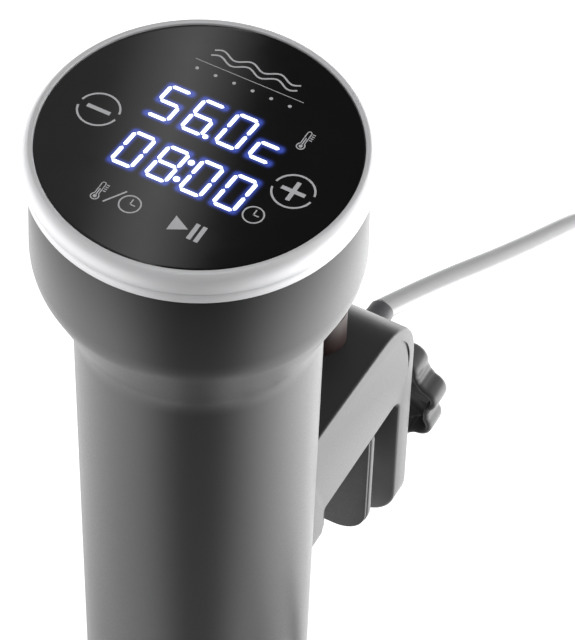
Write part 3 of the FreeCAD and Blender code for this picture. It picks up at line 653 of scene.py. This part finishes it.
def icon_outlines():
    marks = []
    level, thick = -2.3, 1.2             # of the minus and plus keys
    for side, x in (("minus", -28.05), ("plus", 28.1)):
        marks += [arc_stroke(x, level, 5.5, 0.55, 10.7, 169.3),
                  arc_stroke(x, level, 5.5, 0.55, 190.7, 349.3), block(x, level, 6.7, thick)]
        if side == "plus":
            marks += [block(x, level + offset, thick, 2.75) for offset in (-1.975, 1.975)]
    marks += thermometer_mark(22.4, 12.0, 4.9)
    marks += clock_mark(23.2, -14.0, 2.7)
    marks += thermometer_mark(-14.1, -28.0, 4.6)
    marks.append(stroke([(-11.45, -28.6), (-7.8, -22.8)], 0.45))
    marks += clock_mark(-5.1, -26.1, 2.8)
    marks.append([Vector((6.8, -28.8)), Vector((11.5, -26.2)), Vector((6.8, -23.6))])
    marks += [block(x, -26.15, 1.2, 5.5) for x in (13.0, 15.0)]
    return marks


def wave_outlines():
    """a plain water mark: two rows of ripples, a rule, and a row of drops under it"""
    marks = []
    wide, height, ripples, steps = 25.2, 0.85, 3, 60
    for base in (30.3, 28.3):
        marks.append(stroke([(-12.6 + wide * k / steps, base + height * math.sin(
            2 * math.pi * ripples * k / steps)) for k in range(steps + 1)], 0.5))
    marks.append(block(0.25, 25.4, 31.5, 0.18))
    marks += [disc(-13.5 + 5.4 * k, 22.6, 0.5, 20) for k in range(6)]
    return marks


MARK_LOW, MARK_HIGH = GLASS_TOP + 0.01, GLASS_TOP + 0.05


def plates(outlines):
    def maker(bm):
        for points in outlines:
            prism(bm, points, MARK_LOW, MARK_HIGH, along_z)
    return maker


piece("display_digits", plates([bar_outline(*line) for line in bar_lines()]
                               + [disc(*dot) for dot in DOTS]),
      "digit", "housing")
piece("display_icons", plates(icon_outlines() + wave_outlines()), "icon", "housing")


# ------------------------------------------------------------------ head
def glass_panel(bm):
    rings = [(k * 0.5, GLASS_TOP) for k in range(int((GLASS_RADIUS - 0.6) * 2) + 1)]
    rings += [(GLASS_RADIUS - 0.4, GLASS_TOP), (GLASS_RADIUS - 0.2, GLASS_TOP - 0.04),
              (GLASS_RADIUS - 0.06, GLASS_TOP - 0.14), (GLASS_RADIUS, GLASS_TOP - 0.3),
              (GLASS_RADIUS, GLASS_LOW.z + 0.1), (GLASS_RADIUS - 0.1, GLASS_LOW.z),
              (0, GLASS_LOW.z)]
    lathe(bm, rings, steps=288)


HALO_SPREAD, HALO_WIDE, HALO_HIGH = 0.62, 23, 19        # the last two from the middle


def add_halo(panel):
    """how much of the digits' light each point of the glass gives off"""
    lines, reach = bar_lines(), SEGMENT / 2
    share = panel.data.attributes.new("lit", "FLOAT", "POINT")
    for k, vertex in enumerate(panel.data.vertices):
        spot = Vector((vertex.co.x / MM, vertex.co.y / MM))
        below = vertex.co.z < (GLASS_TOP - 0.02) * MM
        if below or abs(spot.x) > HALO_WIDE or abs(spot.y) > HALO_HIGH:
            continue
        nearest = min((spot - Vector(dot[:2])).length - dot[2] for dot in DOTS)
        for start, end in lines:
            run = end - start
            along = min(1, max(0, (spot - start).dot(run) / run.length_squared))
            nearest = min(nearest, (spot - start - run * along).length - reach)
        share.data[k].value = math.exp(-(max(0, nearest) / HALO_SPREAD) ** 2)


add_halo(piece("display_glass", glass_panel, "glass", "housing",
               ["glass_touch_panel"]))


def bezel(bm):
    low, high, radius = BEZEL_LOW.z, BEZEL_HIGH.z, BEZEL_HIGH.x - 0.02
    inner, bore = GLASS_RADIUS + 0.1, 40.5
    groove, ledge = low + 3.3, low + 5.7
    side = [(bore, low), (radius - 0.5, low), (radius - 0.15, low + 0.15), (radius, low + 0.5),
            (radius, groove - 0.25), (radius - 0.14, groove - 0.1),
            (radius - 0.14, groove + 0.1), (radius, groove + 0.25)]
    crown = bow((radius, high - 4.1), (radius - 1.9, high), 4.8, 16)
    lip = [(inner + 0.4, high), (inner + 0.12, high - 0.1), (inner, high - 0.35),
           (inner, ledge), (bore, ledge)]
    lathe(bm, side + crown + lip, steps=384, closed=True)


piece("bezel", bezel, "bezel", "housing", ["bezel_ring"], sharp=50)

HOUSING_WALL = 2.0
BODY_LOW_RADIUS, BODY_TOP_RADIUS, HEAD_RADIUS, HEAD_TOP_RADIUS = 32.35, 33.4, 44.05, 43.5
BODY_TOP, FLARE_LOW, FLARE_HIGH, HEAD_STRAIGHT = 331.1, 340.0, 356.9, 365.0


def housing_side():
    """the housing's outer side, from its lower edge up to the bezel"""
    return ([(BODY_LOW_RADIUS, HOUSING_LOW.z)]
            + bow((BODY_TOP_RADIUS, BODY_TOP), (35.2, FLARE_LOW), -22.4, 16)
            + bow((42.4, FLARE_HIGH), (HEAD_RADIUS, HEAD_STRAIGHT), 19.9, 16)
            + [(HEAD_TOP_RADIUS, HOUSING_HIGH.z - 0.5),
               (HEAD_TOP_RADIUS - 0.35, HOUSING_HIGH.z)])


def housing(bm):
    outer = housing_side()
    low_radius, low = outer[0]
    outer = [(low_radius - 0.5, low), (low_radius - 0.15, low + 0.15),
             (low_radius, low + 0.5)] + outer[1:]
    lathe(bm, outer + [(r - HOUSING_WALL, z) for r, z in reversed(outer)], steps=320,
          closed=True)


piece("housing_shell", housing, "housing", "housing",
      ["upper_housing"], sharp=50)

# ------------------------------------------------------------------ pot clamp
CLAMP_HALF = BRACKET_HIGH.x
LEG_OUTER, ARM_TOP, LEG_LOW = BRACKET_HIGH.y, BRACKET_HIGH.z, BRACKET_LOW.z
LEG_INNER, ARM_REAR_TOP, ARM_UNDER = 90.4, 247.6, 210.0
SADDLE_REAR, SADDLE_LOW = 42.4, 194.0
BODY_SEAT = BODY_TOP_RADIUS - 0.1
INSIDE_BODY = 26                     # shapes that meet the body begin in its wall
REAR_CORNER, LEG_CORNER, SADDLE_CORNER = 23, 13.5, 7
SCREW_BORE, CORD_BORE = 7, 4.6
SIDE = [(INSIDE_BODY, SADDLE_LOW), (SADDLE_REAR, SADDLE_LOW), (SADDLE_REAR, ARM_UNDER),
        (LEG_INNER, ARM_UNDER), (LEG_INNER, LEG_LOW), (LEG_OUTER, LEG_LOW),
        (LEG_OUTER, ARM_REAR_TOP), (SADDLE_REAR, ARM_TOP),
        (INSIDE_BODY, ARM_TOP)]
SIDE_RADII = [0, 0, 1.5, 5, 0, 0, REAR_CORNER, 0, 0]


def bracket(bm):
    prism(bm, rounded(SIDE, SIDE_RADII), -CLAMP_HALF, CLAMP_HALF, along_x)


def corner_shapes(bm, low, radius, front, rear):
    """what rounding both lower corners takes off, from front to rear"""
    for side in (-1, 1):
        edge = side * CLAMP_HALF
        curve = bow((edge - side * radius, low), (edge, low + radius), side * radius, 12)
        beyond = [(edge + side * 2, low + radius), (edge + side * 2, low - 2),
                  (edge - side * radius, low - 2)]
        prism(bm, curve + beyond, front, rear, along_y)


def bracket_cuts(bm):
    corner_shapes(bm, LEG_LOW, LEG_CORNER, LEG_INNER - 1, LEG_OUTER + 1)
    corner_shapes(bm, SADDLE_LOW, SADDLE_CORNER, INSIDE_BODY - 2, SADDLE_REAR + 1)
    rod(bm, SCREW_BORE, LEG_INNER - 1, LEG_OUTER + 1, 64, about_screw)


def bracket_recess(bm):
    """a crescent groove round the rear corner of both cheeks, and the seat round the body"""
    reach, wide, depth, steps = 19.6, 1.2, 0.5, 24
    first, sweep = math.radians(-14), math.radians(66)
    centre = Vector((LEG_OUTER - REAR_CORNER, ARM_REAR_TOP - REAR_CORNER))
    outer, inner = [], []
    for k in range(steps + 1):
        angle = first + sweep * k / steps
        out = Vector((math.cos(angle), math.sin(angle)))
        outer.append(centre + out * reach)
        inner.append(centre + out * (reach - wide * math.sin(math.pi * k / steps)))
    for side in (-1, 1):
        prism(bm, outer + inner[-2:0:-1], side * (CLAMP_HALF - depth),
              side * (CLAMP_HALF + 1), along_x)
    rod(bm, BODY_SEAT, SADDLE_LOW - 2, ARM_TOP + 2, 320)


def cord_bore(bm):
    rod(bm, CORD_BORE, BOOT_LOW.y, LEG_OUTER + 1, 64, about_cord)


BRACKET = piece("clamp_arm", bracket, "clamp", "housing",
                ["clamp_bracket"], sharp=30, bevel=0.9, before=bracket_cuts,
                after=bracket_recess)
carve(BRACKET, cord_bore)

NECK_HIGH = span("neck_block")[1]
NECK_SEAT_LOW, NECK_SEAT_HIGH = 240, 262


def neck(bm):
    """a thin web out of the body that ends in a round post"""
    half, post = 4.0, NECK_HIGH.x
    centre = NECK_HIGH.y - post
    meet = math.asin(half / post)
    turns = [-math.pi / 2 + meet + (2 * math.pi - 2 * meet) * k / 64 for k in range(65)]
    prism(bm, [(-half, INSIDE_BODY), (half, INSIDE_BODY)] + [
        (post * math.cos(turn), centre + post * math.sin(turn)) for turn in turns],
        ARM_REAR_TOP - 1, NECK_HIGH.z, along_z)


def neck_seat(bm):
    rod(bm, BODY_SEAT, NECK_SEAT_LOW, NECK_SEAT_HIGH, 320)


# the neck wears the warm brown tint that is painted reflection
piece("neck", neck, "neck", "housing", ["neck_block"], bevel=0.9,
      after=neck_seat, sharp=30)


def jaw_outline(half, low, high, low_corner, top_corner):
    return rounded([(-half, low), (half, low), (half, high), (-half, high)],
                   [low_corner, low_corner, top_corner, top_corner])


JAW_REAR, HUB_REAR = 76.0, 81.0


def jaw(bm):
    prism(bm, jaw_outline(JAW_HIGH.x, JAW_LOW.z, JAW_HIGH.z, 11, 3), PAD_HIGH.y, JAW_REAR,
          along_y)


def jaw_boss(bm):
    """the hub round the screw's end, with four ribs on the jaw's rear"""
    bore, radius, front = 4.2, 8.0, JAW_REAR - 0.5
    lathe(bm, [(bore, front), (radius, front), (radius, HUB_REAR - 0.5),
               (radius - 0.5, HUB_REAR), (bore, HUB_REAR)], steps=96,
          place=about_screw, closed=True)
    start, end, half = 7.6, 15.5, 0.8
    for turn in range(4):
        angle = math.radians(45 + 90 * turn)
        out = Vector((math.cos(angle), math.sin(angle)))
        side = Vector((-out.y, out.x)) * half
        rib = [out * start - side, out * end - side, out * end + side, out * start + side]
        prism(bm, [(p.x, p.y + SCREW_HEIGHT) for p in rib], JAW_REAR - 0.2, JAW_REAR + 2.2,
              along_y)


def jaw_pad(bm):
    prism(bm, jaw_outline(PAD_HIGH.x, PAD_LOW.z, PAD_HIGH.z, 10.7, 2.7), PAD_LOW.y,
          PAD_HIGH.y, along_y)


SADDLE_PAD_LOW, SADDLE_PAD_HIGH = span("saddle_pad")
RIB_RISE, RIB_SINK, RIB_HIGH, RIB_PITCH = 0.5, 0.05, 1.3, 2.4


def saddle_pad(bm):
    """a pad with level ribs on its rear, the face that grips"""
    front, rear = SADDLE_PAD_LOW.y, SADDLE_PAD_HIGH.y
    prism(bm, jaw_outline(SADDLE_PAD_HIGH.x, SADDLE_PAD_LOW.z, SADDLE_PAD_HIGH.z, 6.4, 0.8),
          front, rear, along_y)
    for vertex in bm.verts:
        if abs(vertex.co.y - rear) < 1e-6:
            vertex.co.y -= RIB_RISE
    half = SADDLE_PAD_HIGH.x - 1.2
    level = SADDLE_PAD_LOW.z + 7
    while level < SADDLE_PAD_HIGH.z - 2:
        prism(bm, rounded([(-half, level), (half, level), (half, level + RIB_HIGH),
                           (-half, level + RIB_HIGH)], [0.6] * 4, 4),
              rear - (RIB_RISE + RIB_SINK), rear, along_y)
        level += RIB_PITCH


piece("jaw_face", jaw, "clamp", "jaw", ["jaw_plate"], bevel=0.5, sharp=30)
piece("jaw_hub", jaw_boss, "clamp", "jaw")
piece("jaw_grip", jaw_pad, "rubber", "jaw", ["jaw_pad"], bevel=0.15)
piece("saddle_grip", saddle_pad, "rubber", "housing", ["saddle_pad"])

# ------------------------------------------------------------------ screw and knob
THREAD_PITCH, THREAD_OUTER, THREAD_ROOT = 2.0, 4.0, 3.35


def screw(bm):
    steps, per_pitch = 40, 10
    low, high = SCREW_LOW.y, SCREW_HIGH.y
    count = int((high - low) / THREAD_PITCH * per_pitch)
    rows = [[about_screw(0, 0, low)]]
    for row in range(count + 1):
        level = low + (high - low) * row / count
        ring = []
        for k in range(steps):
            phase = (level / THREAD_PITCH - k / steps) % 1.0
            ridge = smooth(1 - abs(2 * phase - 1) * 1.15)
            edge = min(1, (level - low) / 0.8, (high - level) / 0.8)
            radius = THREAD_ROOT + (THREAD_OUTER - THREAD_ROOT) * ridge
            ring.append(about_screw(radius * (0.8 + 0.2 * max(0, edge)),
                                    2 * math.pi * k / steps, level))
        rows.append(ring)
    rows.append([about_screw(0, 0, high)])
    skin(bm, rows)


piece("screw_thread", screw, "bright", "screw", ["clamp_screw"], sharp=60)

LOBES, LOBE_REACH, LOBE_RADIUS, KNOB_RADIUS = 9, 17.7, 5.2, 20.4
VALLEY_REACH, VALLEY_RADIUS, LOBE_TURN = 21.8, 1.8, math.radians(5)


def knob_reach(angle, shrink):
    """how far the lobed grip reaches at an angle: lobes on a disc, valleys between them"""
    def offset(start):
        part = 2 * math.pi / LOBES
        return (angle - start + part / 2) % part - part / 2
    reach = KNOB_RADIUS - shrink
    lobe, size = offset(math.pi / LOBES), LOBE_RADIUS - shrink
    inside = size ** 2 - (LOBE_REACH * math.sin(lobe)) ** 2
    if inside > 0:
        reach = max(reach, LOBE_REACH * math.cos(lobe) + math.sqrt(inside))
    valley, size = offset(0.0), VALLEY_RADIUS + shrink
    inside = size ** 2 - (VALLEY_REACH * math.sin(valley)) ** 2
    if inside > 0:
        reach = min(reach, VALLEY_REACH * math.cos(valley) - math.sqrt(inside))
    return reach


def knob(bm):
    steps, blur = 360, math.radians(1.6)
    bore, hub = 4.05, 7.5
    front, rear = KNOB_LOW.y, KNOB_HIGH.y

    def lobed(shrink, level):
        row = []
        for k in range(steps):
            angle = 2 * math.pi * k / steps
            reach = sum(knob_reach(angle + LOBE_TURN + blur * i, shrink)
                        for i in (-1, 0, 1)) / 3
            row.append(about_screw(reach, angle, level))
        return row

    def circle(radius, level):
        return [about_screw(radius, 2 * math.pi * k / steps, level) for k in range(steps)]

    skin(bm, [circle(bore, rear - 2.0), circle(bore, rear - 0.2), circle(11.9, rear),
              lobed(2.4, rear), lobed(1.3, rear - 0.12), lobed(0.5, rear - 0.5),
              lobed(0.1, rear - 1.2), lobed(0.0, rear - 2.0), lobed(0.0, front + 1.2),
              lobed(0.15, front + 0.5), lobed(0.5, front + 0.1), lobed(0.8, front),
              lobed(1.3, front), lobed(1.7, front + 0.15), lobed(1.9, front + 0.6),
              lobed(2.0, rear - 3.2), lobed(2.6, rear - 2.7), circle(8.2, rear - 2.7),
              circle(hub, rear - 3.3), circle(hub, front + 0.4), circle(7.1, front),
              circle(bore, front)], closed=True)


piece("knob_grip", knob, "knob", "screw", ["clamp_knob"], sharp=40)
CAP_LOW, CAP_HIGH = span("knob_cap")


def knob_disc(bm):
    """the disc in the knob's rear, sunk inside a raised rim"""
    low, high = CAP_LOW.y, CAP_HIGH.y
    lathe(bm, [(0, low), (12.0, low), (12.0, low + 0.5), (11.8, low + 0.85),
               (11.2, high - 0.1), (10.4, high), (9.6, high - 0.35), (9.0, high - 0.45),
               (0, high - 0.45)], steps=128, place=about_screw)


piece("knob_disc", knob_disc, "knob", "screw", ["knob_cap"])


# ------------------------------------------------------------------ studio
def studio(right, away, height):
    """a place in metres, given by the view's own right and away directions"""
    turn = math.radians(VIEW_AZIMUTH)
    return Vector((math.cos(turn) * right - math.sin(turn) * away,
                   math.sin(turn) * right + math.cos(turn) * away, height))


def softbox(name, place, aim, wide, high, power):
    data = bpy.data.lights.new(name, "AREA")
    data.shape, data.size, data.size_y, data.energy = "RECTANGLE", wide, high, power
    lamp = bpy.data.objects.new(name, data)
    lamp.matrix_world = (Matrix.Translation(place)
                         @ (aim - place).to_track_quat("-Z", "Y").to_matrix().to_4x4())
    lamp.visible_camera = lamp.visible_glossy = False
    SCENE.collection.objects.link(lamp)


softbox("right_box", studio(1.15, 0.25, 0.45), studio(0, 0, 0.22), 1.0, 1.1, 28)
softbox("left_box", studio(-1.3, 0.1, 0.5), studio(0, 0, 0.25), 0.5, 1.1, 9)
softbox("top_box", studio(0.1, -0.5, 1.9), studio(0, 0, 0.2), 1.2, 1.2, 22)


BAND_ENDS = ((-18.8, 31.0), (1.5, -28.0))       # where the glass shows the bright band
BAND_PEAK, BAND_WIDTH = 1.6, 0.018
WORLD_LEFT, WORLD_RIGHT, WORLD_BLEND = 0.40, 0.09, 0.02         # either side of the band


def make_world():
    """a white surround for the lens; what it lights gets less, brighter to one side of a
    narrow band that lies where the glass mirrors it to the photograph's lens"""
    world = bpy.data.worlds.new("studio")
    SCENE.world = world
    world.use_nodes = True
    tree = world.node_tree
    tree.nodes.clear()
    lens = SCENE.camera.matrix_world.translation / MM
    far, near = ((Vector((*spot, GLASS_TOP)) - lens).reflect(Vector((0, 0, 1))).normalized()
                 for spot in BAND_ENDS)
    slope = far.cross(near).normalized()
    if slope.dot(studio(1, 0, 0)) < 0:
        slope = -slope
    where = node(tree, "ShaderNodeTexCoord").outputs["Generated"]
    across = node(tree, "ShaderNodeVectorMath", [(0, where)], operation="DOT_PRODUCT")
    across.inputs[1].default_value = slope
    across = across.outputs["Value"]
    off = node(tree, "ShaderNodeMath", [(0, across)], operation="ABSOLUTE")
    glow = ranged(tree, off.outputs[0], BAND_PEAK, 0.0, 0.0, BAND_WIDTH)
    rest = ranged(tree, across, WORLD_LEFT, WORLD_RIGHT, -WORLD_BLEND, WORLD_BLEND)
    strength = node(tree, "ShaderNodeMath", [(0, glow), (1, rest)], operation="ADD")
    band = node(tree, "ShaderNodeBackground", [("Strength", strength.outputs[0])])
    plain = node(tree, "ShaderNodeBackground", in_Strength=1.0)
    for light in (band, plain):
        light.inputs["Color"].default_value = (1, 1, 1, 1)
    seen = node(tree, "ShaderNodeLightPath").outputs["Is Camera Ray"]
    both = node(tree, "ShaderNodeMixShader", [("Fac", seen), (1, band.outputs[0]),
                                              (2, plain.outputs[0])])
    node(tree, "ShaderNodeOutputWorld", [("Surface", both.outputs[0])])


make_world()


FLOOR_RIGHT, FLOOR_LEFT, FLOOR_BEHIND = 2.2, 1.25, 0.9
FLOOR_NEAR, FLOOR_FAR = 0.7, 1.8                # shares, at the two distances
FLOOR_START, FLOOR_END = 0.15, 0.40             # metres from the object's axis
FLOOR_DROP = 0.0003                             # metres, under the object


def make_floor():
    """a table that is plain white to the lens and lights the object by direction from its
    axis: most of all from the right, less from the left and behind, hardly from in front"""
    bm = bmesh.new()
    lathe(bm, [(0, 0), (1.0, 0), (4.0, 0)], steps=96)
    mesh = bpy.data.meshes.new("floor")
    bm.to_mesh(mesh)
    bm.free()
    floor = bpy.data.objects.new("floor", mesh)
    floor.location.z = -FLOOR_DROP
    material = surface("pale_floor", (0.25, 0.25, 0.25), 0.7, tint=0.01, bump=0.02)
    tree = material.node_tree
    shader = tree.nodes["Principled BSDF"]
    shader.inputs["Emission Color"].default_value = (1, 1, 1, 1)
    heading = node(tree, "ShaderNodeVectorMath", [(0, placed(tree))],
                   operation="NORMALIZE").outputs["Vector"]
    reach = node(tree, "ShaderNodeVectorMath", [(0, placed(tree))],
                 operation="LENGTH").outputs["Value"]

    def towards(direction, high, start, end):
        along = node(tree, "ShaderNodeVectorMath", [(0, heading)], operation="DOT_PRODUCT")
        along.inputs[1].default_value = direction
        return ranged(tree, along.outputs["Value"], 0.0, high, start, end)

    right = towards(studio(0.966, 0.259, 0), FLOOR_RIGHT, 0.15, 1.0)
    left = towards(studio(-1, 0, 0), FLOOR_LEFT, 0.3, 0.8)
    behind = towards(studio(0, 1, 0), FLOOR_BEHIND, 0.6, 0.9)
    ramp = ranged(tree, reach, FLOOR_NEAR, FLOOR_FAR, FLOOR_START, FLOOR_END)
    sides = node(tree, "ShaderNodeMath", [(0, right), (1, left)], operation="ADD")
    total = node(tree, "ShaderNodeMath", [(0, sides.outputs[0]), (1, ramp), (2, behind)],
                 operation="MULTIPLY_ADD")
    seen = node(tree, "ShaderNodeLightPath").outputs["Is Camera Ray"]
    shown = node(tree, "ShaderNodeMix", [("Factor", seen), ("A", total.outputs[0])],
                 in_B=1.0)
    tree.links.new(shown.outputs[0], shader.inputs["Emission Strength"])
    floor.data.materials.append(material)
    SCENE.collection.objects.link(floor)


make_floor()
